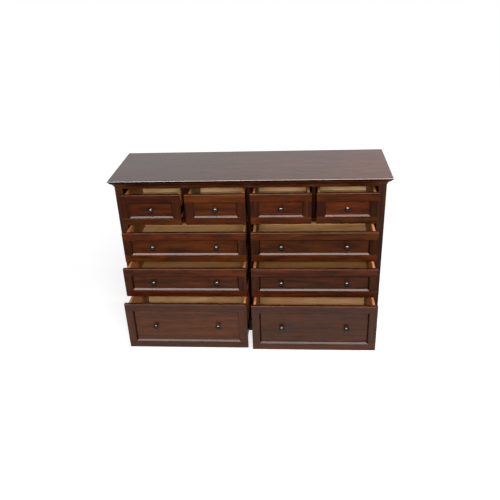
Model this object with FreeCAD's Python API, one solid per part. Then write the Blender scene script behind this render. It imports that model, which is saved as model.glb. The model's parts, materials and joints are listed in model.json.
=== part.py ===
import FreeCAD, Part
import math
import os
from collections import namedtuple

# Ten-drawer dresser with framed inset fronts, drawn with its drawers pulled part of the way out.
# Millimetres: X runs to the right, Y to the back and Z up.
# The origin lies on the floor, under the middle of the case.

# Top board and the cove moulding under it
top_width = 1524.0
top_depth = 478.0
top_thickness = 16.0
top_round = 5.0
overhang = 29.0
back_overhang = 6.0
undercut_height = 10.0
undercut_depth = 9.0
cove_height = 24.0
cove_fillet = 2.5
cove_hollow = 2.5

# Face frame
frame_thickness = 20.0
stile_width = 41.0
centre_stile_width = 19.0
divider_width = 19.0
base_rail_height = 76.0
row_rail_height = 19.0
top_rail_height = 37.5
tenon_length = 8.0
tenon_thickness = 8.0
tenon_shoulder = 4.0

# Drawer fronts and the gaps round them
front_height = 174.0
deep_front_height = 287.0
front_thickness = 20.0
front_round = 2.5
front_ease = 1.0
side_reveal = 3.5
base_reveal = 6.0
row_gap = 7.5
rail_reveal = 2.5
top_reveal = 7.5

# Framed panels: the bevel inside the frame and the groove that holds the panel
member_width = 50.0
bevel_width = 8.0
bevel_depth = 7.0
quirk = 2.0
panel_thickness = 6.0
groove_depth = 8.0
panel_float = 1.0
joint_fit = 0.15

# Drawer boxes
box_side_thickness = 12.0
box_drop = 22.0
box_lift = 12.0
box_rear_clearance = 12.0
dovetail_depth = 7.0
dovetail_neck = 5.0
dovetail_flare = 1.0
box_bottom_thickness = 6.0
box_bottom_height = 12.0
box_groove = 5.0
box_back_thickness = 12.0
box_back_setback = 14.0
box_dado = 4.0

# Telescopic drawer slides, two rolled channels each
slide_thickness = 12.7
slide_height = 35.0
slide_gauge = 1.2
slide_lip = 4.0
slide_lip_place = 9.0
slide_play = 0.3
slide_setback = 5.0
slide_centre = 52.0

# Knobs: a flattened ball on a hollow neck and a small foot
knob_radius = 15.0
knob_projection = 26.0
knob_head_height = 18.0
knob_neck_radius = 5.5
knob_base_radius = 9.0
knob_base_thickness = 2.0
knob_sides = 20
knob_head_bands = 2

# Carcass behind the face frame
case_side_thickness = 20.0
side_foot_width = 110.0
side_head_width = 74.0
side_stile_width = 50.0
case_dado = 4.0
bottom_board_thickness = 12.0
back_panel_thickness = 6.0
back_rabbet = 10.0
back_panel_lift = 40.0
back_rail_thickness = 20.0
spacer_height = 50.0

# How far each drawer is pulled out
pulled_out = {
    "top_1": 82.0,
    "top_2": 82.5,
    "top_3": 80.0,
    "top_4": 78.5,
    "upper_left": 138.0,
    "upper_right": 139.0,
    "middle_left": 210.0,
    "middle_right": 213.0,
    "bottom_left": 281.0,
    "bottom_right": 293.0,
}

# Places worked out from the sizes above
case_width = top_width - 2 * overhang
case_depth = top_depth - overhang - back_overhang
half_case = case_width / 2
front_y = -case_depth / 2
back_y = case_depth / 2
frame_back_y = front_y + frame_thickness
back_panel_y = back_y - back_panel_thickness
back_rail_y = back_panel_y - back_rail_thickness
inner_half = half_case - case_side_thickness
opening_edge = half_case - stile_width
centre_half = centre_stile_width / 2
wide_opening = opening_edge - centre_half
small_opening = (wide_opening - divider_width) / 2
divider_x = centre_half + small_opening + divider_width / 2
bottom_row_z = base_rail_height + base_reveal
middle_row_z = bottom_row_z + deep_front_height + row_gap
upper_row_z = middle_row_z + front_height + row_gap
row_rail_z = upper_row_z + front_height + rail_reveal
shelf_top_z = row_rail_z + row_rail_height
top_row_z = shelf_top_z + rail_reveal
top_rail_z = top_row_z + front_height + top_reveal
case_height = top_rail_z + top_rail_height
panel_recess = bevel_depth + quirk
box_length = case_depth - frame_thickness - back_panel_thickness - box_rear_clearance
slide_length = box_length - slide_setback

Vector = FreeCAD.Vector
origin = Vector(0, 0, 0)
x_axis = Vector(1, 0, 0)
y_axis = Vector(0, 1, 0)
z_axis = Vector(0, 0, 1)


def box(x0, x1, y0, y1, z0, z1):
    return Part.makeBox(x1 - x0, y1 - y0, z1 - z0, Vector(x0, y0, z0))


def prism(points, run):
    outline = Part.makePolygon(points + [points[0]])
    return Part.Face(outline).extrude(run)


def moved(shape, x, y, z):
    copy = shape.copy()
    copy.translate(Vector(x, y, z))
    return copy


def mirrored(shape):
    return shape.mirror(origin, x_axis)


def both_sides(shape):
    return [mirrored(shape), shape]


def edge_relief(corner, into_a, into_b, run, radius):
    # What a round-over takes off a square edge that starts at the corner and follows the run.
    start = corner + into_a * radius
    end = corner + into_b * radius
    inward = into_a + into_b
    middle = corner + inward * (radius * (1 - 1 / inward.Length))
    edges = [
        Part.makeLine(corner, start),
        Part.Arc(start, middle, end).toShape(),
        Part.makeLine(end, corner),
    ]
    return Part.Face(Part.Wire(edges)).extrude(run)


def sticking(length, width, thickness):
    # Framing stock along X with the bevel and the panel groove in its upper, inner edge.
    groove_front = panel_recess - joint_fit
    groove_back = panel_recess + panel_thickness + joint_fit
    outline = [
        Vector(0, 0, 0),
        Vector(0, thickness, 0),
        Vector(0, thickness, width),
        Vector(0, groove_back, width),
        Vector(0, groove_back, width - groove_depth),
        Vector(0, groove_front, width - groove_depth),
        Vector(0, groove_front, width),
        Vector(0, bevel_depth, width),
        Vector(0, 0, width - bevel_width),
    ]
    return prism(outline, Vector(length, 0, 0))


def framed_panel(length, width, low, high, near, far, thickness):
    # Two members run the whole length along X, and two are coped to fit between them.
    # The panel floats in the grooves. The face lies at y = 0 and the width runs along Z.
    low_member = sticking(length, low, thickness)
    high_member = sticking(length, high, thickness).mirror(origin, z_axis)
    high_member.translate(Vector(0, 0, width))
    through = Part.makeCompound([low_member, high_member])
    cope = max(bevel_width, groove_depth)
    run = width - low - high + 2 * cope
    near_member = sticking(run, near, thickness)
    near_member.rotate(origin, y_axis, 90)
    near_member.translate(Vector(0, 0, width - high + cope))
    far_member = sticking(run, far, thickness)
    far_member.rotate(origin, y_axis, -90)
    far_member.translate(Vector(length, 0, low - cope))
    tongue = groove_depth - panel_float
    panel = box(
        near - tongue,
        length - far + tongue,
        panel_recess,
        panel_recess + panel_thickness,
        low - tongue,
        width - high + tongue,
    )
    return [low_member, high_member, near_member.cut(through), far_member.cut(through)], panel


def dovetail(x, z0, z1, fit):
    # Sliding dovetail on the front end of a drawer side, narrow at the shoulder and wide at its tip.
    neck = dovetail_neck / 2 + fit
    tip = neck + dovetail_flare
    tip_y = front_thickness - dovetail_depth - fit
    outline = [
        Vector(x - neck, front_thickness, z0),
        Vector(x - tip, tip_y, z0),
        Vector(x + tip, tip_y, z0),
        Vector(x + neck, front_thickness, z0),
    ]
    return prism(outline, Vector(0, 0, z1 - z0))


def drawer_front(width, height, box_half):
    # Rails run the whole width and stiles stand between them. Their long edges are rounded over.
    frame, panel = framed_panel(
        width, height, member_width, member_width, member_width, member_width, front_thickness
    )
    frame = [moved(member, -width / 2, 0, 0) for member in frame]
    panel = moved(panel, -width / 2, 0, 0)
    left = -width / 2
    right = width / 2
    rounds = [
        edge_relief(Vector(left, 0, 0), z_axis, y_axis, x_axis * width, front_round),
        edge_relief(Vector(left, 0, height), z_axis * -1, y_axis, x_axis * width, front_round),
    ]
    end_corner = [Vector(right, 0, 0), Vector(right - front_ease, 0, 0), Vector(right, front_ease, 0)]
    eases = both_sides(prism(end_corner, z_axis * height))
    tail_x = box_half - box_side_thickness / 2
    sockets = [dovetail(side * tail_x, 0, height - box_drop, joint_fit) for side in (-1, 1)]
    bottom_half = box_half - box_side_thickness + box_groove
    bottom_z = box_lift + box_bottom_height
    groove = box(
        -bottom_half,
        bottom_half,
        front_thickness - box_groove,
        front_thickness,
        bottom_z,
        bottom_z + box_bottom_thickness + joint_fit,
    )
    cuts = Part.makeCompound(rounds + eases + sockets)
    frame = [member.cut(cuts).cut(groove) for member in frame]
    return frame + [panel]


def drawer_box(height, box_half):
    # Two sides, a back let into dados, and a bottom that slides in under the back.
    z0 = box_lift
    z1 = height - box_drop
    y0 = front_thickness
    y1 = front_thickness + box_length
    inner = box_half - box_side_thickness
    bottom_z = box_lift + box_bottom_height
    bottom_top = bottom_z + box_bottom_thickness
    back_y0 = y1 - box_back_setback - box_back_thickness
    back_y1 = y1 - box_back_setback
    side = box(inner, box_half, y0, y1, z0, z1)
    side = side.fuse(dovetail(box_half - box_side_thickness / 2, z0, z1, 0)).removeSplitter()
    groove = box(inner, inner + box_groove, y0 - dovetail_depth, y1, bottom_z, bottom_top + joint_fit)
    dado = box(inner, inner + box_dado, back_y0 - joint_fit, back_y1 + joint_fit, bottom_z, z1)
    side = side.cut(groove).cut(dado)
    back_half = inner + box_dado - joint_fit
    back = box(-back_half, back_half, back_y0, back_y1, bottom_top, z1)
    bottom_half = inner + box_groove - joint_fit
    bottom_y0 = y0 - box_groove + joint_fit
    bottom = box(-bottom_half, bottom_half, bottom_y0, y1, bottom_z, bottom_top)
    return both_sides(side) + [back, bottom]


def knob_ring(radius, away):
    # The corners of one ring of flats round the Y axis, at a distance from the panel's face.
    turn = 2 * math.pi / knob_sides
    return [
        Vector(radius * math.cos(side * turn), panel_recess - away, radius * math.sin(side * turn))
        for side in range(knob_sides)
    ]


def knob(x, z):
    # Foot, neck and head, with flat faces from ring to ring, seated on the panel.
    half_head = knob_head_height / 2
    lean = math.acos(knob_neck_radius / knob_radius)
    rings = [knob_ring(knob_base_radius, 0), knob_ring(knob_base_radius, knob_base_thickness)]
    for band in range(-knob_head_bands, knob_head_bands + 1):
        angle = lean * band / knob_head_bands
        away = knob_projection - half_head + half_head * math.sin(angle) / math.sin(lean)
        rings.append(knob_ring(knob_radius * math.cos(angle), away))
    outlines = [rings[0], rings[-1]]
    for near, far in zip(rings, rings[1:]):
        for side in range(knob_sides):
            outlines.append([near[side - 1], near[side], far[side], far[side - 1]])
    faces = [Part.Face(Part.makePolygon(corners + corners[:1])) for corners in outlines]
    return moved(Part.Solid(Part.Shell(faces)), x, 0, z)


def slide_channel(outline, case_face, inward, y, z):
    # Places a section drawn as distance from the case face and height, and runs it along Y.
    points = [Vector(case_face + inward * away, y, z + rise) for away, rise in outline]
    return prism(points, Vector(0, slide_length, 0))


def cabinet_channel(case_face, inward, y, z):
    half = slide_height / 2
    lip_back = slide_lip_place - slide_gauge
    lip_end = half - slide_lip
    flange = half - slide_gauge
    upper = [
        (slide_gauge, flange),
        (lip_back, flange),
        (lip_back, lip_end),
        (slide_lip_place, lip_end),
        (slide_lip_place, half),
        (0, half),
    ]
    lower = [(away, -rise) for away, rise in reversed(upper)]
    return slide_channel(upper + lower, case_face, inward, y, z)


def drawer_channel(case_face, inward, y, z):
    # The hooks run inside the lips of the cabinet channel and carry the drawer.
    half = slide_height / 2
    body = half - slide_lip - slide_play
    hook_front = slide_lip_place - slide_gauge - slide_play
    hook_back = hook_front - slide_gauge
    reach = half - slide_gauge - slide_play
    upper = [
        (slide_thickness, body),
        (hook_front, body),
        (hook_front, reach),
        (hook_back, reach),
        (hook_back, body - slide_gauge),
        (slide_thickness - slide_gauge, body - slide_gauge),
    ]
    lower = [(away, -rise) for away, rise in reversed(upper)]
    return slide_channel(upper + lower, case_face, inward, y, z)


def drawer(opening, height, knob_places):
    # The pieces of one drawer, with its face at y = 0 and the front's lower edge at z = 0.
    width = opening - 2 * side_reveal
    box_half = opening / 2 - slide_thickness
    slide_y = front_thickness + slide_setback
    slide_z = box_lift + slide_centre
    channels = [
        drawer_channel(-opening / 2, 1, slide_y, slide_z),
        drawer_channel(opening / 2, -1, slide_y, slide_z),
    ]
    return {
        "front": drawer_front(width, height, box_half),
        "box": drawer_box(height, box_half),
        "knob": [knob(x, height / 2) for x in knob_places],
        "slides": channels,
    }


def tenon(x0, x1, z0, z1):
    middle = (front_y + frame_back_y) / 2
    return box(x0, x1, middle - tenon_thickness / 2, middle + tenon_thickness / 2, z0, z1)


def end_tenons(x0, x1, z0, z1):
    # Stub tenons on both ends of a rail.
    low = z0 + tenon_shoulder
    high = z1 - tenon_shoulder
    return [tenon(x0 - tenon_length, x0, low, high), tenon(x1, x1 + tenon_length, low, high)]


def standing_tenons(x0, x1, z0, z1):
    # Stub tenons on the foot and the head of an upright.
    low = x0 + tenon_shoulder
    high = x1 - tenon_shoulder
    return [tenon(low, high, z0 - tenon_length, z0), tenon(low, high, z1, z1 + tenon_length)]


def face_member(x0, x1, z0, z1, tenons, mortises):
    member = box(x0, x1, front_y, frame_back_y, z0, z1)
    if tenons:
        member = member.fuse(tenons).removeSplitter()
    if mortises:
        member = member.cut(Part.makeCompound(mortises))
    return member


def face_frame():
    # Stiles to the floor, rails tenoned between them, and the uprights that part the drawers.
    divider_x0 = divider_x - divider_width / 2
    divider_x1 = divider_x + divider_width / 2
    top_tenons = end_tenons(-opening_edge, opening_edge, top_rail_z, case_height)
    base_tenons = end_tenons(-opening_edge, opening_edge, 0, base_rail_height)
    row_tenons = end_tenons(centre_half, opening_edge, row_rail_z, shelf_top_z)
    centre_tenons = standing_tenons(-centre_half, centre_half, base_rail_height, top_rail_z)
    divider_tenons = standing_tenons(divider_x0, divider_x1, shelf_top_z, top_rail_z)
    dividers_in_top = both_sides(divider_tenons[1])
    rows_in_centre = both_sides(row_tenons[0])
    stile = face_member(
        opening_edge, half_case, 0, case_height, [], [top_tenons[1], base_tenons[1], row_tenons[1]]
    )
    row_rail = face_member(
        centre_half, opening_edge, row_rail_z, shelf_top_z, row_tenons, [divider_tenons[0]]
    )
    divider = face_member(divider_x0, divider_x1, shelf_top_z, top_rail_z, divider_tenons, [])
    centre = face_member(
        -centre_half, centre_half, base_rail_height, top_rail_z, centre_tenons, rows_in_centre
    )
    top_rail = face_member(
        -opening_edge,
        opening_edge,
        top_rail_z,
        case_height,
        top_tenons,
        dividers_in_top + [centre_tenons[1]],
    )
    base_rail = face_member(
        -opening_edge, opening_edge, 0, base_rail_height, base_tenons, [centre_tenons[0]]
    )
    return {
        "face_stiles": both_sides(stile),
        "centre_stile": [centre],
        "top_rail": [top_rail],
        "row_rails": both_sides(row_rail),
        "drawer_dividers": both_sides(divider),
        "base_rail": [base_rail],
    }


def carcass():
    # Framed sides, partitions, shelf, bottom and back.
    bottom = box(
        centre_half - case_dado,
        inner_half + case_dado,
        frame_back_y,
        back_rail_y,
        base_rail_height - bottom_board_thickness,
        base_rail_height,
    )
    shelf = box(
        centre_half - case_dado,
        inner_half + case_dado,
        frame_back_y,
        back_panel_y,
        row_rail_z,
        shelf_top_z,
    )
    shelves = both_sides(shelf)
    bottoms = both_sides(bottom)
    back = box(
        -inner_half - back_rabbet,
        inner_half + back_rabbet,
        back_panel_y,
        back_y,
        back_panel_lift,
        case_height,
    )
    # The side is framed lying down, then stood up at the left of the case.
    frame, panel = framed_panel(
        case_height,
        back_y - frame_back_y,
        side_stile_width,
        side_stile_width,
        side_foot_width,
        side_head_width,
        case_side_thickness,
    )
    left_side = []
    for piece in frame + [panel]:
        piece.rotate(origin, Vector(1, 1, 1), -120)
        piece.translate(Vector(-half_case, frame_back_y, 0))
        left_side.append(piece.cut(Part.makeCompound(shelves + bottoms + [back])))
    partition = box(-centre_half, centre_half, frame_back_y, back_panel_y, 0, case_height)
    partition = partition.cut(Part.makeCompound(shelves + bottoms))
    small_partition = box(
        divider_x - divider_width / 2,
        divider_x + divider_width / 2,
        frame_back_y,
        back_rail_y,
        shelf_top_z,
        case_height,
    )
    top_back_rail = box(
        centre_half, inner_half, back_rail_y, back_panel_y, top_rail_z, case_height
    )
    base_back_rail = box(centre_half, inner_half, back_rail_y, back_panel_y, 0, base_rail_height)
    return {
        "side_left": left_side,
        "side_right": [mirrored(piece) for piece in left_side],
        "centre_partition": [partition],
        "drawer_partitions": both_sides(small_partition),
        "dust_shelves": shelves,
        "bottom_boards": bottoms,
        "back_panel": [back],
        "back_rails": both_sides(top_back_rail) + both_sides(base_back_rail),
    }


def top_board():
    # Rounded above and cut back below on the front and the two ends; the back edge is square.
    x = top_width / 2
    y0 = front_y - overhang
    y1 = back_y + back_overhang
    z1 = case_height + top_thickness
    down = z_axis * -1
    board = box(-x, x, y0, y1, case_height, z1)
    front_cut = [
        Vector(-x, y0, case_height),
        Vector(-x, y0, case_height + undercut_height),
        Vector(-x, y0 + undercut_depth, case_height),
    ]
    end_cut = [
        Vector(x, y0, case_height),
        Vector(x, y0, case_height + undercut_height),
        Vector(x - undercut_depth, y0, case_height),
    ]
    end_run = Vector(0, top_depth, 0)
    cuts = [
        edge_relief(Vector(-x, y0, z1), y_axis, down, x_axis * top_width, top_round),
        edge_relief(Vector(-x, y0, z1), x_axis, down, end_run, top_round),
        edge_relief(Vector(x, y0, z1), x_axis * -1, down, end_run, top_round),
        prism(front_cut, x_axis * top_width),
    ]
    for cut in cuts + both_sides(prism(end_cut, end_run)):
        board = board.cut(cut)
    return board


def cove_section(start, outward):
    # Fillet, hollow and fillet, from the case face out to the edge of the board above.
    projection = overhang - undercut_depth
    high = case_height
    low = case_height - cove_height

    def point(away, z):
        return start + outward * away + z_axis * z

    hollow_top = point(projection, high - cove_fillet)
    hollow_bottom = point(cove_fillet, low + cove_fillet)
    chord = hollow_bottom - hollow_top
    across = chord.cross(outward.cross(z_axis)).normalize()
    if across.z < 0:
        across = across * -1
    middle = (hollow_top + hollow_bottom) * 0.5 + across * cove_hollow
    edges = [
        Part.makeLine(point(0, high), point(projection, high)),
        Part.makeLine(point(projection, high), hollow_top),
        Part.Arc(hollow_top, middle, hollow_bottom).toShape(),
        Part.makeLine(hollow_bottom, point(cove_fillet, low)),
        Part.makeLine(point(cove_fillet, low), point(0, low)),
        Part.makeLine(point(0, low), point(0, high)),
    ]
    return Part.Face(Part.Wire(edges))


def cove_moulding():
    # Front and end lengths, mitred at the two front corners.
    reach = overhang - undercut_depth
    low = case_height - cove_height
    corner = Vector(half_case, front_y, low)
    tip = Vector(half_case + reach, front_y - reach, low)
    beyond_front = [corner, Vector(half_case + reach, front_y, low), tip]
    beyond_end = [corner, Vector(half_case, front_y - reach, low), tip]
    rise = Vector(0, 0, cove_height)
    front = cove_section(Vector(-half_case - reach, front_y, 0), y_axis * -1)
    front = front.extrude(Vector(2 * (half_case + reach), 0, 0))
    front = front.cut(Part.makeCompound(both_sides(prism(beyond_front, rise))))
    end = cove_section(Vector(half_case, front_y - reach, 0), x_axis)
    end = end.extrude(Vector(0, case_depth + reach, 0))
    end = end.cut(prism(beyond_end, rise))
    return {"cove_front": [front], "cove_left": [mirrored(end)], "cove_right": [end]}


# An opening for one drawer: its middle, its width, the front's height and lower edge, and its knobs
Bay = namedtuple("Bay", "name x opening height z knob_places")


def drawer_bays():
    wide_x = centre_half + wide_opening / 2
    near_x = centre_half + small_opening / 2
    far_x = opening_edge - small_opening / 2
    pair = [near_x - wide_x, far_x - wide_x]
    bays = []
    for number, x in enumerate([-far_x, -near_x, near_x, far_x], start=1):
        bays.append(Bay("top_%d" % number, x, small_opening, front_height, top_row_z, [0]))
    for side, x in [("left", -wide_x), ("right", wide_x)]:
        bays.append(Bay("upper_" + side, x, wide_opening, front_height, upper_row_z, pair))
        bays.append(Bay("middle_" + side, x, wide_opening, front_height, middle_row_z, pair))
        bays.append(Bay("bottom_" + side, x, wide_opening, deep_front_height, bottom_row_z, pair))
    return bays


def slide_mounts(bays):
    # The cabinet half of every slide, and the blocks that bring the outer ones out to the stiles.
    y = front_y + front_thickness + slide_setback
    channels = []
    blocks = []
    for bay in bays:
        z = bay.z + box_lift + slide_centre
        far_face = bay.x + bay.opening / 2
        channels.append(cabinet_channel(bay.x - bay.opening / 2, 1, y, z))
        channels.append(cabinet_channel(far_face, -1, y, z))
        if abs(far_face - opening_edge) < joint_fit:
            block = box(
                opening_edge,
                inner_half,
                frame_back_y,
                y + slide_length,
                z - spacer_height / 2,
                z + spacer_height / 2,
            )
            blocks += both_sides(block)
    return {"slide_cabinet_channels": channels, "slide_blocks": blocks}


def all_nodes():
    bays = drawer_bays()
    nodes = {"top_panel": [top_board()]}
    nodes.update(cove_moulding())
    nodes.update(face_frame())
    nodes.update(carcass())
    nodes.update(slide_mounts(bays))
    kinds = {}
    for bay in bays:
        kind = (bay.opening, bay.height)
        if kind not in kinds:
            kinds[kind] = drawer(bay.opening, bay.height, bay.knob_places)
        place = (bay.x, front_y - pulled_out[bay.name], bay.z)
        for part, solids in kinds[kind].items():
            nodes["drawer_%s_%s" % (bay.name, part)] = [moved(solid, *place) for solid in solids]
    return nodes


os.makedirs("parts", exist_ok=True)
for node, solids in all_nodes().items():
    Part.makeCompound(solids).exportStep("parts/%s.step" % node)
    print(node, len(solids), "solids,", round(sum(s.Volume for s in solids) / 1000), "cm3")
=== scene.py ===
import json
import math

import bmesh
import bpy
from mathutils import Matrix, Vector

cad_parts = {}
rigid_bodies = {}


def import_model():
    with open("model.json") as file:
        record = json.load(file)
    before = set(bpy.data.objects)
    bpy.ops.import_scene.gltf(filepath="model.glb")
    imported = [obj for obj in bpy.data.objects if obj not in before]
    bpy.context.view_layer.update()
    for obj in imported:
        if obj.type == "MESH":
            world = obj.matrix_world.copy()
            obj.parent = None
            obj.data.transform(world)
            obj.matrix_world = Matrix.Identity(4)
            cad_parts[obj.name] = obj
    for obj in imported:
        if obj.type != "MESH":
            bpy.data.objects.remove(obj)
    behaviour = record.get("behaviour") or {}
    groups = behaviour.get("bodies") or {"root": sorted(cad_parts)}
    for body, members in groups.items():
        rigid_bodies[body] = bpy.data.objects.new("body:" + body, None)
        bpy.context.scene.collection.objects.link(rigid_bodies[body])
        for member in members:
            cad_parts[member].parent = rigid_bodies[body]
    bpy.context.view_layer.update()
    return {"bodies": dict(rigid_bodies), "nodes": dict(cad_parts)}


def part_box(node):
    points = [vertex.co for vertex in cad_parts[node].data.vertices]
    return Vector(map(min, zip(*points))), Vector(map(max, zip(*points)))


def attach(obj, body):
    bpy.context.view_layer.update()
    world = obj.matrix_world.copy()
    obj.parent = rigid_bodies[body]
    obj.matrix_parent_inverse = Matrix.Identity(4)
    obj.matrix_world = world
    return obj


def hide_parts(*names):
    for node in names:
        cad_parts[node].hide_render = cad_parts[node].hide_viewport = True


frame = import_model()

scene = bpy.context.scene
mm = 0.001  # the scene's unit is the metre
mergeDistance = 0.001 * mm
drawers = [name for name in frame["bodies"] if name != "case"]
print("frame:", len(frame["nodes"]), "nodes,", len(drawers), "drawers")


def srgb(hexValue):
    # sRGB hex to a linear colour
    channels = [int(hexValue[start:start + 2], 16) / 255 for start in (0, 2, 4)]
    return [c / 12.92 if c <= 0.04045 else ((c + 0.055) / 1.055) ** 2.4 for c in channels] + [1]


def addNode(tree, kind, settings=None, inputs=None):
    # one node with its settings, and a value or a link for each input
    node = tree.nodes.new("ShaderNode" + kind)
    for name, value in (settings or {}).items():
        setattr(node, name, value)
    for name, value in (inputs or {}).items():
        if isinstance(name, int):
            socket = node.inputs[name]
        else:
            socket = next(s for s in node.inputs if s.name == name and not s.is_unavailable)
        if isinstance(value, bpy.types.Node):
            value = next(s for s in value.outputs if not s.is_unavailable)
        if isinstance(value, bpy.types.NodeSocket):
            tree.links.new(value, socket)
        else:
            socket.default_value = value
    return node


def newMaterial(name):
    material = bpy.data.materials.new(name)
    material.use_nodes = True
    material.node_tree.nodes.clear()
    return material


# Looks of the woods. Grain, clouds, streaks and pores are (length, width) in mm along and across
# the grain, and bump and rubWidth are in mm too. Pores are drawn about twice as coarse as real
# ones, so that they show.

# Cherry, planed, stained and thinly lacquered: deep red-brown and low in gloss, with a long soft
# figure, clouds where the stain took unevenly, and fine dark streaks
stainedCherry = {
    "dark": "2c1207", "light": "5e2c0c", "streakColour": "1c0a04", "poreColour": "170803",
    "grain": (420, 24), "clouds": (130, 38), "streaks": (120, 3.2), "pores": (16, 0.9),
    "cloudDepth": 0.52, "streakDepth": 0.42, "poreDepth": 0.45, "endGrain": 0.5,
    "toneSpread": 0.28, "hueSpread": 0.008,
    "roughness": (0.2, 0.36), "specular": 0.05, "coat": 0.0, "bump": 0.05,
    "rubColour": "7a4020", "rubWidth": 3.0, "rubDepth": 0.2,
}
# the case itself is darker than the drawers
caseCherry = dict(stainedCherry, dark="251007", light="4e260e", specular=0.08)
# lacquer lies thickest on the bevels and on the edge of the top, so that they shine
lacqueredEdge = dict(stainedCherry, roughness=(0.18, 0.2), bump=0.005)
lacqueredTopEdge = dict(lacqueredEdge, specular=1.0, coat=1.0, rubDepth=0.1)
# painted shade: a nearly black cherry without shine, for the faces that lie in shadow: the dividers between
# the drawers, the upright bevels of the fronts and the top's undercut and ends
paintedShadeLook = dict(stainedCherry, dark="180903", light="301406", specular=0.02)
# wax on the top: redder and lighter than the fronts, with a soft sheen
waxedTop = dict(
    stainedCherry, dark="401b0c", light="6c3213", streakColour="260f06", specular=0.4, coat=0.1,
    roughness=(0.24, 0.36), toneSpread=0.14,
)
# Maple, planed and sealed: pale tan and even, nearly dull
drawerMaple = {
    "dark": "b07a49", "light": "d3a673", "streakColour": "8a5a32", "poreColour": "6d4526",
    "grain": (300, 20), "clouds": (110, 40), "streaks": (90, 2.4), "pores": (12, 0.8),
    "cloudDepth": 0.3, "streakDepth": 0.35, "poreDepth": 0.3, "endGrain": 0.3,
    "toneSpread": 0.1, "hueSpread": 0.004,
    "roughness": (0.42, 0.58), "specular": 0.35, "coat": 0.0, "bump": 0.04,
}
# Poplar inside the case, stained and left unpolished: plain dull brown
casePoplar = dict(
    drawerMaple, dark="4a2d1b", light="6f4a30", streakColour="33200f", poreColour="26170c",
    roughness=(0.5, 0.65),
)
# Hardboard, pressed from fibres: short flecks and no grain
hardboard = dict(
    casePoplar, dark="5d3f28", light="7c5a3c", grain=(40, 25), streaks=(9, 3), pores=(2.5, 1.2),
    toneSpread=0.0,
)

# How all woods are drawn: the noise of each pattern, and the values between which it comes in
woodNoise = {
    "grain": {"Detail": 4, "Distortion": 0.7}, "clouds": {"Detail": 3, "Distortion": 0.5},
    "streaks": {"Detail": 3, "Distortion": 0.25}, "pores": {"Detail": 1, "Distortion": 0},
}
comesIn = {
    "grain": (0.3, 0.7), "clouds": (0.48, 0.64), "streaks": (0.48, 0.75), "pores": (0.6, 0.72),
    "endGrain": (0.8, 0.95), "rubbing": (0.42, 0.65),
}
# what darkens the colour: a pattern, its depth and its shade
darkLayers = [
    ("clouds", "cloudDepth", "streakColour"), ("streaks", "streakDepth", "streakColour"),
    ("pores", "poreDepth", "poreColour"), ("endGrain", "endGrain", "streakColour"),
]
woodDrawing = {
    "numberStep": 10, "sideStep": 5,  # between the numbers of a piece's boards, and across a rule
    "logSpread": (6, 3, 3),  # boards are cut up to this far apart in the log, in metres
    "rubPatch": 45 * mm, "rubFull": 0.5 * mm,  # size of a rubbed patch, and width that is rubbed most
    "coatRoughness": 0.16,
}


def layBoards(tree, look, boards, seed, place, facing):
    # Gives the grain, number, end-on share and two colours of the board at each point. A board rule
    # holds outside its two limits on an axis; the first that holds wins, the last is for the rest.
    channels = ("VECTOR", "FLOAT", "FLOAT", "RGBA", "RGBA")
    for rank, board in enumerate(reversed(boards)):
        axes = {"X": "XYZ", "Y": "YZX", "Z": "ZXY"}[board["grain"]]
        along = addNode(tree, "CombineXYZ", {}, dict(zip("XYZ", [place[a] for a in axes])))
        number = seed + woodDrawing["numberStep"] * rank
        dark, light = (
            [c * board.get("tone", 1) for c in srgb(board.get(key, look[key]))[:3]] + [1]
            for key in ("dark", "light"))
        if "fade" in board:
            axis, start, stop, kept = board["fade"]  # kept: the share that is left of each channel
            fade = addNode(tree, "MapRange", {}, {"Value": place[axis], "From Min": start, "From Max": stop})
            dark, light = (
                addNode(tree, "Mix", {"data_type": "RGBA"}, {
                    "Factor": fade, "A": colour, "B": [c * share for c, share in zip(colour, kept)] + [1]})
                for colour in (dark, light))
        if "plank" in board:
            axis, width, start = board["plank"]  # planks side by side along the axis
            step = addNode(tree, "Math", {"operation": "MULTIPLY_ADD"},
                           {0: place[axis], 1: 1 / width, 2: number - start / width})
            number = addNode(tree, "Math", {"operation": "FLOOR"}, {0: step})
        if rank == 0:
            chosen = (along, number, facing[axes[0]], dark, light)
            continue
        over = addNode(tree, "Math", {"operation": "GREATER_THAN"},
                       {0: place[board["axis"]], 1: board["high"]})
        under = addNode(tree, "Math", {"operation": "LESS_THAN"},
                        {0: place[board["axis"]], 1: board["low"]})
        holds = addNode(tree, "Math", {"operation": "ADD"}, {0: over, 1: under})
        number = addNode(tree, "Math", {"operation": "MULTIPLY_ADD"},
                         {0: over, 1: woodDrawing["sideStep"], 2: number})
        own = (along, number, facing[axes[0]], dark, light)
        chosen = [
            addNode(tree, "Mix", {"data_type": channel}, {"Factor": holds, "A": rest, "B": ownValue})
            for channel, rest, ownValue in zip(channels, chosen, own)]
    return chosen


def rubbedEdges(tree, look, edges, place, placeVector):
    # the share of finish that is rubbed off, in patches along the outer edges
    lo, hi, axes = edges
    nearest = []
    for axis in axes:
        low, high = (getattr(corner, axis.lower()) for corner in (lo, hi))
        offset = addNode(tree, "Math", {"operation": "SUBTRACT"}, {0: place[axis], 1: (low + high) / 2})
        offset = addNode(tree, "Math", {"operation": "ABSOLUTE"}, {0: offset})
        nearest.append(addNode(tree, "Math", {"operation": "SUBTRACT"}, {0: (high - low) / 2, 1: offset}))
    nearest = addNode(tree, "Math", {"operation": "MINIMUM"}, dict(enumerate(nearest)))
    edge = addNode(tree, "MapRange", {}, {
        "Value": nearest, "From Min": look["rubWidth"] * mm, "From Max": woodDrawing["rubFull"]})
    patches = addNode(tree, "TexNoise", {}, {
        "Vector": placeVector, "Scale": 1 / woodDrawing["rubPatch"], "Detail": 3})
    start, stop = comesIn["rubbing"]
    patches = addNode(tree, "MapRange", {}, {
        "Value": patches, "From Min": start, "From Max": stop, "To Max": look["rubDepth"]})
    return addNode(tree, "Math", {"operation": "MULTIPLY"}, {0: edge, 1: patches})


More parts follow.
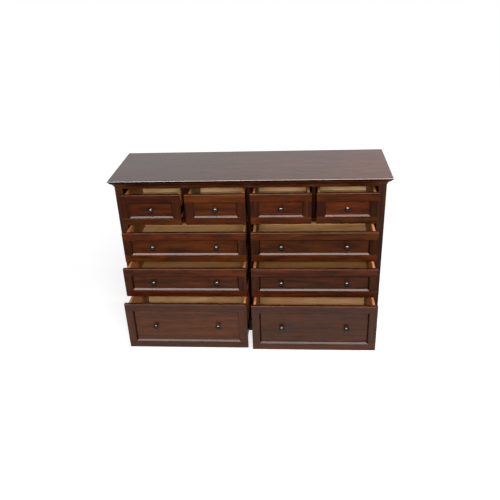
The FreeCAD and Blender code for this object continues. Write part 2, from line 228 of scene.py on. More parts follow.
def woodMaterial(name, look, boards, seed, edges=None):
    # Wood under a thin finish: streaks run along each board, every board has its own tone,
    # and open pores break the gloss.
    material = newMaterial(name)
    tree = material.node_tree
    coords = addNode(tree, "TexCoord").outputs
    place = addNode(tree, "SeparateXYZ", {}, {"Vector": coords["Object"]}).outputs
    facing = addNode(tree, "SeparateXYZ", {}, {"Vector": coords["Normal"]}).outputs
    along, boardNumber, end, dark, light = layBoards(tree, look, boards, seed, place, facing)

    # every board is cut from another place in the log
    chance = addNode(tree, "TexWhiteNoise", {"noise_dimensions": "1D"}, {"W": boardNumber})
    cutFrom = addNode(tree, "VectorMath", {"operation": "MULTIPLY_ADD"},
                      {0: chance.outputs["Color"], 1: woodDrawing["logSpread"], 2: along})
    patterns = {"endGrain": addNode(tree, "Math", {"operation": "ABSOLUTE"}, {0: end})}
    for kind, noise in woodNoise.items():
        length, width = look[kind]
        stretch = (1 / (length * mm), 1 / (width * mm), 1 / (width * mm))
        drawn = addNode(tree, "Mapping", {}, {"Vector": cutFrom, "Scale": stretch})
        patterns[kind] = addNode(tree, "TexNoise", {}, {
            "Vector": drawn, "Scale": 1, "Roughness": 0.6, **noise})

    start, stop = comesIn["grain"]
    figure = addNode(tree, "MapRange", {}, {"Value": patterns["grain"], "From Min": start, "From Max": stop})
    colour = addNode(tree, "Mix", {"data_type": "RGBA"}, {"Factor": figure, "A": dark, "B": light})
    # the stain took darker in clouds, streaks and pores, and on end grain
    shown = {}
    for kind, depth, shade in darkLayers:
        start, stop = comesIn[kind]
        shown[kind] = addNode(tree, "MapRange", {}, {
            "Value": patterns[kind], "From Min": start, "From Max": stop, "To Max": look[depth]})
        colour = addNode(tree, "Mix", {"data_type": "RGBA"}, {
            "Factor": shown[kind], "A": colour, "B": srgb(look[shade])})
    # each board's own tone and hue
    spread = look["toneSpread"]
    tone = addNode(tree, "MapRange", {}, {"Value": chance, "To Min": 1 - spread, "To Max": 1 + spread})
    spread = look["hueSpread"]
    hue = addNode(tree, "MapRange", {}, {
        "Value": chance.outputs["Color"], "To Min": 0.5 - spread, "To Max": 0.5 + spread})
    colour = addNode(tree, "HueSaturation", {}, {"Color": colour, "Hue": hue, "Value": tone})
    if edges:
        colour = addNode(tree, "Mix", {"data_type": "RGBA"}, {
            "Factor": rubbedEdges(tree, look, edges, place, coords["Object"]),
            "A": colour, "B": srgb(look["rubColour"])})

    low, high = look["roughness"]
    rough = addNode(tree, "MapRange", {}, {
        "Value": patterns["streaks"], "From Min": 0.3, "From Max": 0.7, "To Min": low, "To Max": high})
    relief = addNode(tree, "Math", {"operation": "ADD"}, {0: shown["streaks"], 1: shown["pores"]})
    bump = addNode(tree, "Bump", {"invert": True}, {
        "Height": relief, "Strength": 0.6, "Distance": look["bump"] * mm})
    shader = addNode(tree, "BsdfPrincipled", {}, {
        "Base Color": colour, "Roughness": rough, "Normal": bump, "IOR": 1.5,
        "Specular IOR Level": look["specular"], "Coat Weight": look["coat"],
        "Coat Roughness": woodDrawing["coatRoughness"]})
    addNode(tree, "OutputMaterial", {}, {"Surface": shader})
    return material


# Oil-rubbed bronze: nearly black, with the brass showing faintly where fingers polish it.
# Cloud and speck are in mm.
bronzeLook = {"patina": "262625", "worn": "3e3934", "cloud": 6, "speck": 0.8, "roughness": (0.14, 0.2)}


def bronzeMaterial(look):
    material = newMaterial("oilRubbedBronze")
    tree = material.node_tree
    place = addNode(tree, "TexCoord").outputs["Object"]
    cloud = addNode(tree, "TexNoise", {}, {
        "Vector": place, "Scale": 1 / (look["cloud"] * mm), "Detail": 4, "Roughness": 0.6})
    speck = addNode(tree, "TexNoise", {}, {
        "Vector": place, "Scale": 1 / (look["speck"] * mm), "Detail": 2})
    worn = addNode(tree, "MapRange", {}, {
        "Value": cloud, "From Min": 0.5, "From Max": 0.72, "To Max": 0.7})
    colour = addNode(tree, "Mix", {"data_type": "RGBA"}, {
        "Factor": worn, "A": srgb(look["patina"]), "B": srgb(look["worn"])})
    low, high = look["roughness"]
    rough = addNode(tree, "MapRange", {}, {
        "Value": cloud, "From Min": 0.35, "From Max": 0.65, "To Min": low, "To Max": high})
    bump = addNode(tree, "Bump", {}, {"Height": speck, "Strength": 0.25, "Distance": 0.05 * mm})
    shader = addNode(tree, "BsdfPrincipled", {}, {
        "Base Color": colour, "Metallic": 1, "Roughness": rough, "Normal": bump})
    addNode(tree, "OutputMaterial", {}, {"Surface": shader})
    return material


# Zinc-plated steel, rolled: cool grey with fine lines along the roll and a faint spangle.
# Lines are (length, width) in mm, and the spangle is in mm too.
zincLook = {
    "bright": "b9bcc0", "dull": "8d9094", "lines": (60, 0.5), "spangle": 7, "roughness": (0.26, 0.42),
}
# painted shade: the slides are drawn black, so that the gaps where they sit stay dark like shade
shadeBlackSlideLook = dict(zincLook, bright="3a3b3e", dull="26272a", roughness=(0.34, 0.5))


def zincMaterial(name, look):
    material = newMaterial(name)
    tree = material.node_tree
    place = addNode(tree, "TexCoord").outputs["Object"]
    length, width = look["lines"]
    drawn = addNode(tree, "Mapping", {}, {
        "Vector": place, "Scale": (1 / (width * mm), 1 / (length * mm), 1 / (width * mm))})
    lines = addNode(tree, "TexNoise", {}, {"Vector": drawn, "Scale": 1, "Detail": 2})
    spangle = addNode(tree, "TexVoronoi", {}, {"Vector": place, "Scale": 1 / (look["spangle"] * mm)})
    shade = addNode(tree, "MapRange", {}, {
        "Value": spangle.outputs["Color"], "To Min": 0.25, "To Max": 0.8})
    colour = addNode(tree, "Mix", {"data_type": "RGBA"}, {
        "Factor": shade, "A": srgb(look["dull"]), "B": srgb(look["bright"])})
    low, high = look["roughness"]
    rough = addNode(tree, "MapRange", {}, {
        "Value": lines, "From Min": 0.3, "From Max": 0.7, "To Min": low, "To Max": high})
    bump = addNode(tree, "Bump", {}, {"Height": lines, "Strength": 0.3, "Distance": 0.02 * mm})
    shader = addNode(tree, "BsdfPrincipled", {}, {
        "Base Color": colour, "Metallic": 1, "Roughness": rough, "Normal": bump})
    addNode(tree, "OutputMaterial", {}, {"Surface": shader})
    return material


def dress(node, material):
    # a carried-over node keeps its mesh and takes a new finish
    mesh = frame["nodes"][node].data
    mesh.materials.clear()
    mesh.materials.append(material)


bronze = bronzeMaterial(bronzeLook)
zinc = zincMaterial("zincPlatedSteel", zincLook)
shadeBlackSlides = zincMaterial("shadeBlackSlideSteel", shadeBlackSlideLook)

# Which way the grain of each plain board runs. Planks are (axis, width, start) in metres.
beyond = 1  # metres, past every piece
grainAlong = {axis: [{"grain": axis}] for axis in "XYZ"}
railPlanks = [{"grain": "X", "plank": ("Z", 0.1, 0)}]
endPlanks = [{"grain": "Y", "plank": ("X", 0.4, 0.2)}]
stileBoards = [
    {"axis": "X", "low": -beyond, "high": 0, "grain": "Z", "tone": 0.62},  # the right one is darker
    {"grain": "Z"},
]
railWood = woodMaterial("stainedCherryRails", caseCherry, railPlanks, seed=1)
stileWood = woodMaterial("stainedCherryStiles", caseCherry, stileBoards, seed=2)
# painted shade: the dividers and the centre stile sit in the drawers' shadow, so they are drawn nearly black
dividerWood = woodMaterial("paintedShadeCherryDividers", paintedShadeLook, grainAlong["Z"], seed=8)
endCoveWood = woodMaterial("stainedCherryEndMouldings", caseCherry, endPlanks, seed=3)
poplarAlongY = woodMaterial("stainedPoplarLengthwise", casePoplar, grainAlong["Y"], seed=4)
poplarAlongX = woodMaterial("stainedPoplarCrosswise", casePoplar, grainAlong["X"], seed=5)
backBoard = woodMaterial("hardboard", hardboard, grainAlong["Z"], seed=6)
finishes = {
    railWood: ["top_rail", "row_rails", "base_rail"],
    stileWood: ["face_stiles"],
    dividerWood: ["centre_stile", "drawer_dividers"],
    poplarAlongY: ["centre_partition", "drawer_partitions", "slide_blocks"],
    poplarAlongX: ["dust_shelves", "bottom_boards", "back_rails"],
    backBoard: ["back_panel"],
    shadeBlackSlides: ["slide_cabinet_channels"],
}
for material, nodes in finishes.items():
    for node in nodes:
        dress(node, material)

# Framed case sides: stiles the whole height, a tall foot rail and a head rail between them
sideFrame = {"stile": 50 * mm, "foot": 110 * mm, "head": 74 * mm}
for seed, node in enumerate(["side_left", "side_right"], start=20):
    lo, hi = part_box(node)
    boards = [
        {"axis": "Y", "low": lo.y + sideFrame["stile"], "high": hi.y - sideFrame["stile"], "grain": "Z"},
        {"axis": "Z", "low": lo.z + sideFrame["foot"], "high": hi.z - sideFrame["head"], "grain": "Y"},
        {"grain": "Z"},
    ]
    dress(node, woodMaterial("stainedCherry_" + node, caseCherry, boards, seed))
print("finishes on the case done")


def vertsIn(geom):
    return [part for part in geom if isinstance(part, bmesh.types.BMVert)]


def edgesIn(geom):
    return [part for part in geom if isinstance(part, bmesh.types.BMEdge)]


def closed(bm):
    # merges what an operator left double and turns the faces outwards
    bmesh.ops.remove_doubles(bm, verts=bm.verts, dist=mergeDistance)
    bmesh.ops.recalc_face_normals(bm, faces=bm.faces)
    return bm


def finishPiece(bm, name, materials, body, nodes=()):
    # makes the mesh an object and hangs it on its body
    mesh = bpy.data.meshes.new(name)
    bm.to_mesh(mesh)
    bm.free()
    for material in materials:
        mesh.materials.append(material)
    piece = bpy.data.objects.new(name, mesh)
    scene.collection.objects.link(piece)
    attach(piece, body)
    if nodes:
        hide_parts(*nodes)
    return piece


cornerAngle = math.radians(35)


def smoothRounds(piece):
    # smooth across the rounds, even on the flats, sharp at the corners
    piece.data.shade_smooth()
    piece.data.set_sharp_from_angle(angle=cornerAngle)
    piece.modifiers.new("evenShading", "WEIGHTED_NORMAL").keep_sharp = True
    return piece


# Drawer fronts: rails the whole width, stiles and a flat panel between them.
# Rows nearer the floor have a paler, hazier sheen, and the boards are no perfect match: the tones
# are those of the upper rail, the lower rail, the stiles and the panel.
frontFrame = {
    "rail": 42 * mm, "stile": 50 * mm, "bevelSlope": 0.2, "toneSpread": 0.05,
    "rows": {
        "top": {"specular": 0.05}, "upper": {"specular": 0.05}, "middle": {"specular": 0.09},
        # the bottom row's boards are drawn paler and greyer, in part as painted reflection of the pale floor
        "bottom": {
            "specular": 0.21, "dark": "3c1b0b", "light": "5a2c0d", "cloudDepth": 0.35, "streakDepth": 0.25,
        },
    },
    "bevelGloss": {"top": 0.32, "upper": 0.21, "middle": 0.21, "bottom": 0.24},
    "tones": {
        "drawer_top_1": (0.7, 1.05, 0.5, 0.85), "drawer_top_2": (1.35, 0.8, 0.6, 0.85),
        "drawer_top_3": (0.95, 1.1, 0.6, 1.1), "drawer_top_4": (0.8, 0.75, 0.4, 1.0),
        "drawer_upper_left": (1.0, 1.15, 0.6, 0.9), "drawer_upper_right": (1.2, 1.0, 0.4, 0.7),
        "drawer_middle_left": (0.95, 1.0, 0.6, 0.95), "drawer_middle_right": (0.85, 0.85, 0.5, 0.65),
        "drawer_bottom_left": (0.6, 0.65, 0.75, 1.05), "drawer_bottom_right": (0.6, 0.75, 0.65, 0.7),
    },
}
easedEdge = woodMaterial("polishedCherryEdge", dict(stainedCherry, specular=0.36), grainAlong["X"], seed=9)
# painted shade: the upright bevels of the fronts lie in shade and are drawn nearly black
uprightBevelShade = woodMaterial("paintedShadeCherryBevels", paintedShadeLook, grainAlong["Z"], seed=10)


def frontMaterials(name, shape, seed):
    # flats, the bevel that faces up in thick lacquer, the eased top edge, and upright bevels drawn nearly
    # black as painted shade (plain flats on the top row)
    lo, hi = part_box(name + "_front")
    rail, stile = shape["rail"], shape["stile"]
    upper, lower, sides, panel = shape["tones"][name]
    boards = [
        {"axis": "Z", "low": lo.z - rail, "high": hi.z - rail, "grain": "X", "tone": upper},
        {"axis": "Z", "low": lo.z + rail, "high": hi.z + rail, "grain": "X", "tone": lower},
        {"axis": "X", "low": lo.x + stile, "high": hi.x - stile, "grain": "Z", "tone": sides},
        {"grain": "X", "tone": panel},
    ]
    row = name.split("_")[1]
    rowLook = dict(stainedCherry, toneSpread=shape["toneSpread"], **shape["rows"][row])
    flat = woodMaterial("stainedCherry_" + name, rowLook, boards, seed, edges=(lo, hi, "XZ"))
    bevelLook = dict(lacqueredEdge, specular=shape["bevelGloss"][row])
    bevels = woodMaterial("lacqueredCherry_" + name, bevelLook, grainAlong["X"], seed)
    return [flat, bevels, easedEdge, flat if row == "top" else uprightBevelShade]


def buildFront(name, shape, seed):
    # the CAD mesh, merged, with a finish for each kind of face
    node = name + "_front"
    middle = sum(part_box(node), Vector()).z / 2
    slope = shape["bevelSlope"]
    bm = bmesh.new()
    bm.from_mesh(frame["nodes"][node].data)
    bmesh.ops.remove_doubles(bm, verts=bm.verts, dist=mergeDistance)
    for face in bm.faces:
        centre = face.calc_center_median()
        normal = face.normal
        face.material_index = 0
        if normal.y < -slope and normal.z > slope:
            face.material_index = 1 if centre.z < middle else 2
        # upright bevels take the painted-shade finish
        elif normal.y < -slope and (normal.x > slope or normal.x < -slope and centre.x > 0):
            face.material_index = 3
    materials = frontMaterials(name, shape, seed)
    piece = finishPiece(bm, name + "_framed_front", materials, name, [node])
    piece.data.attributes.remove(piece.data.attributes["custom_normal"])  # the merged faces have their own
    piece.data.shade_flat()
    return piece


# Drawer boxes: orange-brown sides with painted shade behind the case front, where the case shadows
# them, and a tan bottom and back that differ from row to row. The side is a little over its 12 mm, so that
# its inner face counts.
boxBoards = {
    "side": 12.5 * mm, "bottom": 18.5 * mm, "sideWood": {"dark": "b8713f", "light": "e0965c"},
    "caseShadeShare": (0.3, 0.27, 0.24), "caseShadeReach": 50 * mm,
    "litTo": {"top": 15 * mm, "upper": -10 * mm, "middle": -15 * mm, "bottom": -30 * mm},
    "tanWood": {
        "top": {"dark": "a8865b", "light": "c0a37a"}, "upper": {"dark": "b48956", "light": "d3a773"},
        "middle": {"dark": "8d6235", "light": "ac8154"}, "bottom": {"dark": "b18456", "light": "caa173"},
    },
}
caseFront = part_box("face_stiles")[0].y


def dressBox(name, shape, seed):
    lo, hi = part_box(name + "_box")
    row = name.split("_")[1]
    side, tan = shape["side"], shape["tanWood"][row]
    # painted shade: the sides darken behind the case front, where the case shadows them
    litEnd = caseFront + shape["litTo"][row]
    fade = ("Y", litEnd, litEnd + shape["caseShadeReach"], shape["caseShadeShare"])
    boards = [
        {"axis": "X", "low": lo.x + side, "high": hi.x - side, "grain": "Y", "fade": fade,
         **shape["sideWood"]},
        {"axis": "Z", "low": lo.z + shape["bottom"], "high": hi.z + beyond, "grain": "X", **tan},
        {"grain": "X", **tan},
    ]
    dress(name + "_box", woodMaterial("drawerMaple_" + name, drawerMaple, boards, seed))


for seed, name in enumerate(drawers, start=100):
    buildFront(name, frontFrame, seed=3 * seed)
    dressBox(name, boxBoards, seed=7 * seed)
    dress(name + "_slides", shadeBlackSlides)
print("drawer fronts and boxes done")


# Top board: rounded over above, cut back below on the front and the ends. A face is flat, lacquered
# or painted nearly black by its slope: the lacquer is on the front's round alone, and the other sloped and
# upright faces take painted shade.
topShape = {
    "undercut": 10 * mm, "drawIn": 9 * mm, "round": 5 * mm, "roundSteps": 6,
    "arris": 0.7 * mm, "arrisFrom": math.radians(40),
    # painted shade: the top is drawn darker towards its left end
    "plank": 0.115, "plankStart": 0.03, "shaded": (0.45, 0.45, 0.45),  # darker towards the left end
    "flatFrom": 0.97, "lacquered": (0.35, 0.8), "frontWithin": 0.1,
}


def buildTop(shape):
    lo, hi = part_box("top_panel")
    base = lo.z + shape["undercut"]
    bm = bmesh.new()
    bmesh.ops.create_cube(bm, size=1)
    bmesh.ops.scale(bm, vec=(hi.x - lo.x, hi.y - lo.y, hi.z - base), verts=bm.verts)
    bmesh.ops.translate(bm, vec=(0, (lo.y + hi.y) / 2, (base + hi.z) / 2), verts=bm.verts)
    under = min(bm.faces, key=lambda face: face.calc_center_median().z)
    drawn = bmesh.ops.extrude_face_region(bm, geom=[under])["geom"]
    for corner in vertsIn(drawn):
        corner.co.z = lo.z
        corner.co.x -= math.copysign(shape["drawIn"], corner.co.x)
        if corner.co.y < 0:
            corner.co.y += shape["drawIn"]
    if under.is_valid:
        bmesh.ops.delete(bm, geom=[under], context="FACES_ONLY")
    rounded = [
        edge for edge in bm.edges
        if min(v.co.z for v in edge.verts) > hi.z - mm and min(v.co.y for v in edge.verts) < hi.y - mm]
    bmesh.ops.bevel(bm, geom=rounded, offset=shape["round"], offset_type="OFFSET",
                    segments=shape["roundSteps"], profile=0.5, affect="EDGES", material=-1,
                    clamp_overlap=True)
    low, high = shape["lacquered"]
    for face in bm.faces:
        if face.normal.z < shape["flatFrom"]:
            onFront = abs(face.normal.x) < shape["frontWithin"]
            face.material_index = 1 if onFront and low < face.normal.z < high else 2
    planks = [{
        "grain": "X", "plank": ("Y", shape["plank"], shape["plankStart"]),
        # painted shade towards the left end
        "fade": ("X", hi.x, lo.x, shape["shaded"]),
    }]
    outline = (lo, hi, "XY")
    wood = woodMaterial("stainedCherryTop", waxedTop, planks, seed=11, edges=outline)
    edgeWood = woodMaterial("lacqueredCherryTopEdge", lacqueredTopEdge, planks, seed=11, edges=outline)
    # painted shade: the faces under and around the top's edge are drawn nearly black
    ends = woodMaterial("paintedShadeCherryTopUnderside", paintedShadeLook, planks, seed=11)
    piece = finishPiece(closed(bm), "topBoard", [wood, edgeWood, ends], "case", ["top_panel"])
    eased = piece.modifiers.new("easedArris", "BEVEL")
    eased.width = shape["arris"]
    eased.segments = 2
    eased.limit_method = "ANGLE"
    eased.angle_limit = shape["arrisFrom"]
    return smoothRounds(piece)


# Cove moulding: fillet, hollow and fillet under the top, mitred at the front corners
coveShape = {"fillet": 2.5 * mm, "hollow": 2.5 * mm, "steps": 12}


def buildCove(shape, node, name, outward, wood):
    lo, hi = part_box(node)
    frontLo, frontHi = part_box("cove_front")
    reach = frontHi.y - frontLo.y
    caseEdge = frontHi.x - reach
    if outward.y:
        start, run = Vector((lo.x, hi.y, 0)), Vector((hi.x - lo.x, 0, 0))
        mitres = [(1, 1), (-1, 1)]
    else:
        side = math.copysign(1, outward.x)
        start, run = Vector((side * caseEdge, lo.y, 0)), Vector((0, hi.y - lo.y, 0))
        mitres = [(-side, -1)]
    up = Vector((0, 0, 1))
    fillet = shape["fillet"]
    hollowTop = start + outward * reach + up * (hi.z - fillet)
    hollowFoot = start + outward * fillet + up * (lo.z + fillet)
    # the hollow is an arc over the chord between the fillets
    chord = hollowFoot - hollowTop
    turnAxis = up.cross(outward)
    inward = chord.cross(turnAxis).normalized()
    inward *= math.copysign(1, inward.z)
    radius = (chord.length ** 2 / 4 + shape["hollow"] ** 2) / (2 * shape["hollow"])
    centre = (hollowTop + hollowFoot) / 2 - inward * (radius - shape["hollow"])
    bm = bmesh.new()
    bm.verts.new(hollowTop)
    angle = (hollowTop - centre).angle(hollowFoot - centre)
    if (hollowTop - centre).cross(hollowFoot - centre).dot(turnAxis) < 0:
        turnAxis = -turnAxis
    bmesh.ops.spin(bm, geom=bm.verts[:], cent=centre, axis=turnAxis, angle=angle, steps=shape["steps"])
    outline = bm.verts[:]
    for away, height in ((fillet, lo.z), (0, lo.z), (0, hi.z), (reach, hi.z)):
        outline.append(bm.verts.new(start + outward * away + up * height))
    section = bm.faces.new(outline)
    drawn = bmesh.ops.extrude_face_region(bm, geom=[section], use_keep_orig=True)["geom"]
    bmesh.ops.translate(bm, vec=run, verts=vertsIn(drawn))
    for x, y in mitres:
        corner = Vector((math.copysign(caseEdge, outward.x or x), frontHi.y, 0))
        cut = bmesh.ops.bisect_plane(bm, geom=bm.verts[:] + bm.edges[:] + bm.faces[:], plane_co=corner,
                                     plane_no=(x, y, 0), clear_outer=True)["geom_cut"]
        bmesh.ops.contextual_create(bm, geom=edgesIn(cut))
    return smoothRounds(finishPiece(closed(bm), name, [wood], "case", [node]))


buildTop(topShape)
buildCove(coveShape, "cove_front", "coveFront", Vector((0, -1, 0)), railWood)
buildCove(coveShape, "cove_left", "coveLeft", Vector((-1, 0, 0)), endCoveWood)
buildCove(coveShape, "cove_right", "coveRight", Vector((1, 0, 0)), endCoveWood)
print("top and moulding done")


# Knobs: a flattened ball on a hollow neck and a small foot, turned about Y
knobShape = {
    "headHeight": 18 * mm, "neckRadius": 5.5 * mm, "footRadius": 9 * mm, "footThickness": 2 * mm,
    "footLip": 1 * mm, "lipSlope": 0.6, "arcSteps": 14, "turnSteps": 48,
}


def turnKnob(shape, radius, projection):
    half = shape["headHeight"] / 2
    lean = math.acos(shape["neckRadius"] / radius)
    foot, lip = shape["footThickness"], shape["footLip"]
    bm = bmesh.new()
    # head: an arc from the crown to the neck, flattened
    bm.verts.new((0, -1, 0))
    bmesh.ops.spin(bm, geom=bm.verts[:], cent=(0, 0, 0), axis=(0, 0, 1), angle=math.pi / 2 + lean,
                   steps=shape["arcSteps"])
    head = bm.verts[:]
    bmesh.ops.scale(bm, vec=(radius, half, 1), verts=head)
    bmesh.ops.translate(bm, vec=(0, half - projection, 0), verts=head)
    # neck: a hollow arc from the head to the foot
    neckTop = max(v.co.y for v in head)
    bend = [bm.verts.new((-1, 0, 0))]
    bmesh.ops.spin(bm, geom=bend, cent=(0, 0, 0), axis=(0, 0, -1), angle=math.pi / 2,
                   steps=shape["arcSteps"] // 2)
    neck = bm.verts[len(head):]
    outside = shape["footRadius"] - lip
    bmesh.ops.scale(bm, vec=(outside - shape["neckRadius"], -foot - neckTop, 1), verts=neck)
    bmesh.ops.translate(bm, vec=(outside, neckTop, 0), verts=neck)
    # foot: a small lip, the rim and the seat
    last = max(neck, key=lambda v: v.co.y)
    rim = shape["footRadius"]
    for x, y in ((rim, shape["lipSlope"] * lip - foot), (rim, 0), (0, 0)):
        corner = bm.verts.new((x, y, 0))
        bm.edges.new((last, corner))
        last = corner
    bmesh.ops.remove_doubles(bm, verts=bm.verts, dist=mergeDistance)
    bmesh.ops.spin(bm, geom=bm.verts[:] + bm.edges[:], cent=(0, 0, 0), axis=(0, 1, 0), angle=2 * math.pi,
                   steps=shape["turnSteps"], use_merge=True)
    bmesh.ops.remove_doubles(bm, verts=bm.verts, dist=mergeDistance)
    return bm


# Pan-head screws that hold the knobs, seen on the panels' backs. Arm and taper are shares of the
# head's radius and of the recess, and the crown's rings are (growth, drop in head thicknesses).
screwShape = {
    "headRadius": 4 * mm, "headThickness": 2.4 * mm, "recess": 1.1 * mm, "panelThickness": 6 * mm,
    "arm": 0.5, "taper": 0.8, "crown": ((1.55, 0.25), (1.3, 0.45), (1.0, 0.3)),
}


def makeScrew(shape):
    # a cross recess sunk in a small grid, with the round head drawn out from it
    bm = bmesh.new()
    arm = shape["arm"] * shape["headRadius"]
    bmesh.ops.create_grid(bm, x_segments=3, y_segments=3, size=arm)
    onAxis = 0.01 * arm
    cross = []
    for face in bm.faces:
        centre = face.calc_center_median()
        if min(abs(centre.x), abs(centre.y)) < onAxis:
            cross.append(face)
    floor = vertsIn(bmesh.ops.extrude_face_region(bm, geom=cross)["geom"])
    bmesh.ops.translate(bm, vec=(0, 0, -shape["recess"]), verts=floor)
    bmesh.ops.scale(bm, vec=(shape["taper"], shape["taper"], 1), verts=floor)
    bmesh.ops.delete(bm, geom=[face for face in cross if face.is_valid], context="FACES_ONLY")
    rim = [edge for edge in bm.edges if edge.is_boundary]
    for growth, drop in shape["crown"]:
        rim = edgesIn(bmesh.ops.extrude_edge_only(bm, edges=rim)["geom"])
        ring = {v for edge in rim for v in edge.verts}
        for v in ring:
            v.co.z -= drop * shape["headThickness"]
            v.co.xy *= growth
    for v in ring:
        v.co.xy = v.co.xy.normalized() * shape["headRadius"]
    bmesh.ops.contextual_create(bm, geom=rim)
    bmesh.ops.translate(bm, vec=(0, 0, -min(v.co.z for v in bm.verts)), verts=bm.verts)
    bmesh.ops.rotate(bm, cent=(0, 0, 0), matrix=Matrix.Rotation(-math.pi / 2, 3, "X"), verts=bm.verts)
    return bm


def repeated(bm, places):
    # leaves one copy of the shape at each place
    first = bm.verts[:] + bm.edges[:] + bm.faces[:]
    for place in places:
        copy = bmesh.ops.duplicate(bm, geom=first)["geom"]
        bmesh.ops.translate(bm, vec=place, verts=vertsIn(copy))
    bmesh.ops.delete(bm, geom=vertsIn(first), context="VERTS")
    return bm


knobs = bpy.data.collections.new("knobs")
behind = Vector((0, screwShape["panelThickness"], 0))
for name in drawers:
    lo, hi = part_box(name + "_knob")
    radius = (hi.z - lo.z) / 2
    height = (lo.z + hi.z) / 2
    places = [Vector((lo.x + radius, hi.y, height))]
    if hi.x - lo.x > 3 * radius:  # wider than one knob, so a pair
        places.append(Vector((hi.x - radius, hi.y, height)))
    bm = repeated(turnKnob(knobShape, radius, hi.y - lo.y), places)
    turned = finishPiece(closed(bm), name + "_turned_knob", [bronze], name, [name + "_knob"])
    knobs.objects.link(smoothRounds(turned))
    bm = repeated(makeScrew(screwShape), [place + behind for place in places])
    smoothRounds(finishPiece(closed(bm), name + "_knob_screw", [zinc], name))
print("knobs and their screws done")


# Brads round the edge of the back panel
bradShape = {
    "radius": 1.7 * mm, "sides": 10, "proud": 0.4 * mm, "taper": 0.75, "inset": 6 * mm, "spacing": 0.15,
}


def buildBrads(shape):
    lo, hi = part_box("back_panel")
    left, right = lo.x + shape["inset"], hi.x - shape["inset"]
    low, high = lo.z + shape["inset"], hi.z - shape["inset"]
    across = round((right - left) / shape["spacing"])
    upward = round((high - low) / shape["spacing"])
    places = [
        Vector((left + (right - left) * i / across, hi.y, z))
        for i in range(across + 1) for z in (low, high)]
    places += [
        Vector((x, hi.y, low + (high - low) * i / upward))
        for i in range(1, upward) for x in (left, right)]
    bm = bmesh.new()
    bmesh.ops.create_circle(bm, cap_ends=True, segments=shape["sides"], radius=shape["radius"])
    bmesh.ops.rotate(bm, cent=(0, 0, 0), matrix=Matrix.Rotation(-math.pi / 2, 3, "X"), verts=bm.verts)
    raised = vertsIn(bmesh.ops.extrude_face_region(bm, geom=bm.faces[:], use_keep_orig=True)["geom"])
    bmesh.ops.translate(bm, vec=(0, shape["proud"], 0), verts=raised)
    bmesh.ops.scale(bm, vec=(shape["taper"], 1, shape["taper"]), verts=raised)
    return finishPiece(closed(repeated(bm, places)), "backBrads", [zinc], "case")


buildBrads(bradShape)
print("back brads done")


# Studio: a pale floor, and surroundings that are white for the eye and dim as a light
studio = {
    "floorSize": 60, "floorColour": "d2d2d2", "white": "ffffff", "ambient": 0.16,
    "floorGlow": (0.7, 0.9), "glowReach": (1.0, 3.0),  # less near the dresser, so that its shadow shows
}


def seenDirectly(tree):
    # 1 for the camera, for mirrors and for glass, so that they see the same white
    path = addNode(tree, "LightPath").outputs
    seen = addNode(tree, "Math", {"operation": "ADD"}, {0: path["Is Camera Ray"], 1: path["Is Glossy Ray"]})
    return addNode(tree, "Math", {"operation": "ADD", "use_clamp": True},
                   {0: seen, 1: path["Is Transmission Ray"]})


def buildFloor(look):
    # backdrop paper: matt and pale
    paper = newMaterial("backdropPaper")
    tree = paper.node_tree
    place = addNode(tree, "TexCoord").outputs["Object"]
    away = addNode(tree, "VectorMath", {"operation": "LENGTH"}, {0: place})
    (near, far), (dim, bright) = look["glowReach"], look["floorGlow"]
    glow = addNode(tree, "MapRange", {}, {
        "Value": away, "From Min": near, "From Max": far, "To Min": dim, "To Max": bright})
    glow = addNode(tree, "Math", {"operation": "MULTIPLY"}, {0: seenDirectly(tree), 1: glow})
    shader = addNode(tree, "BsdfPrincipled", {}, {
        "Base Color": srgb(look["floorColour"]), "Roughness": 1, "Specular IOR Level": 0,
        "Emission Color": srgb(look["white"]), "Emission Strength": glow})
    addNode(tree, "OutputMaterial", {}, {"Surface": shader})
    bm = bmesh.new()
    bmesh.ops.create_grid(bm, x_segments=1, y_segments=1, size=look["floorSize"] / 2)
    mesh = bpy.data.meshes.new("studioFloor")
    bm.to_mesh(mesh)
    bm.free()
    mesh.materials.append(paper)
    floor = bpy.data.objects.new("studioFloor", mesh)
    scene.collection.objects.link(floor)


def buildSurroundings(look):
    scene.world = bpy.data.worlds.new("whiteStudio")
    scene.world.use_nodes = True
    tree = scene.world.node_tree
    tree.nodes.clear()
    strength = addNode(tree, "MapRange", {}, {
        "Value": seenDirectly(tree), "To Min": look["ambient"], "To Max": 1})
    back = addNode(tree, "Background", {}, {"Color": srgb(look["white"]), "Strength": strength})
    addNode(tree, "OutputWorld", {}, {"Surface": back})


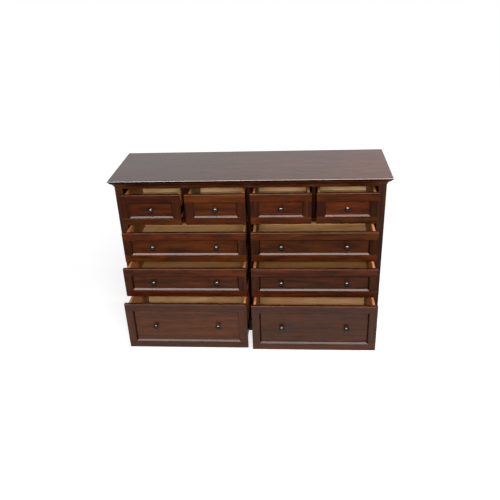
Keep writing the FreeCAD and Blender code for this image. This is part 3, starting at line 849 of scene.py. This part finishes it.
# Softboxes: the overhead one is only mirrored, the one under it only by the knobs, and the front one
# only lights. In one plane the first two would hide each other from mirrors, so one hangs lower.
# Places, aims and sizes are in metres.
softboxes = {
    "overheadSoftbox": {
        "place": (0.1, -2.55, 3.0), "aim": (0.1, -2.55, 0), "size": (4.4, 1.7), "radiance": 14,
        "lights": False,
    },
    "knobSoftbox": {
        "place": (0.1, -2.55, 2.8), "aim": (0.1, -2.55, 0), "size": (3.4, 1.7), "radiance": 45,
        "lights": False, "only": knobs,
    },
    "ceilingSoftbox": {
        "place": (1.8, -0.8, 2.3), "aim": (0.5, -0.2, 0.9), "size": (1.2, 0.6), "radiance": 15,
    },
    "frontSoftbox": {
        "place": (0.2, -3.15, 2.12), "aim": (0, 0, 0.6), "size": (1.6, 0.16), "radiance": 130,
        "mirrored": False,
    },
}


def hangSoftbox(name, look):
    lamp = bpy.data.lights.new(name, "AREA")
    lamp.shape = "RECTANGLE"
    lamp.size, lamp.size_y = look["size"]
    lamp.energy = look["radiance"] * math.pi * lamp.size * lamp.size_y
    softbox = bpy.data.objects.new(name, lamp)
    place = Vector(look["place"])
    aim = (Vector(look["aim"]) - place).to_track_quat("-Z", "Y")
    softbox.matrix_world = Matrix.Translation(place) @ aim.to_matrix().to_4x4()
    softbox.visible_camera = False
    softbox.visible_glossy = look.get("mirrored", True)
    softbox.visible_diffuse = look.get("lights", True)
    softbox.light_linking.receiver_collection = look.get("only")
    scene.collection.objects.link(softbox)


# Camera: place in metres, turns in radians, lens and picture width in mm
cameraView = {
    "place": (0.254761, -3.101852, 2.091340), "pitch": -0.4877287, "yaw": -0.0900669, "roll": -0.0446298,
    "lens": 41.51222, "width": 36, "sightEnd": 200,
}


def buildCamera(view):
    data = bpy.data.cameras.new("camera")
    data.lens = view["lens"]
    data.sensor_width = view["width"]
    data.clip_end = view["sightEnd"]
    camera = bpy.data.objects.new("camera", data)
    camera.matrix_world = (
        Matrix.Translation(view["place"]) @ Matrix.Rotation(-view["yaw"], 4, "Z")
        @ Matrix.Rotation(math.pi / 2 + view["pitch"], 4, "X") @ Matrix.Rotation(view["roll"], 4, "Z"))
    scene.collection.objects.link(camera)
    scene.camera = camera


buildFloor(studio)
buildSurroundings(studio)
for name, look in softboxes.items():
    hangSoftbox(name, look)
buildCamera(cameraView)
scene.view_settings.view_transform = "Standard"
print("studio and camera done")
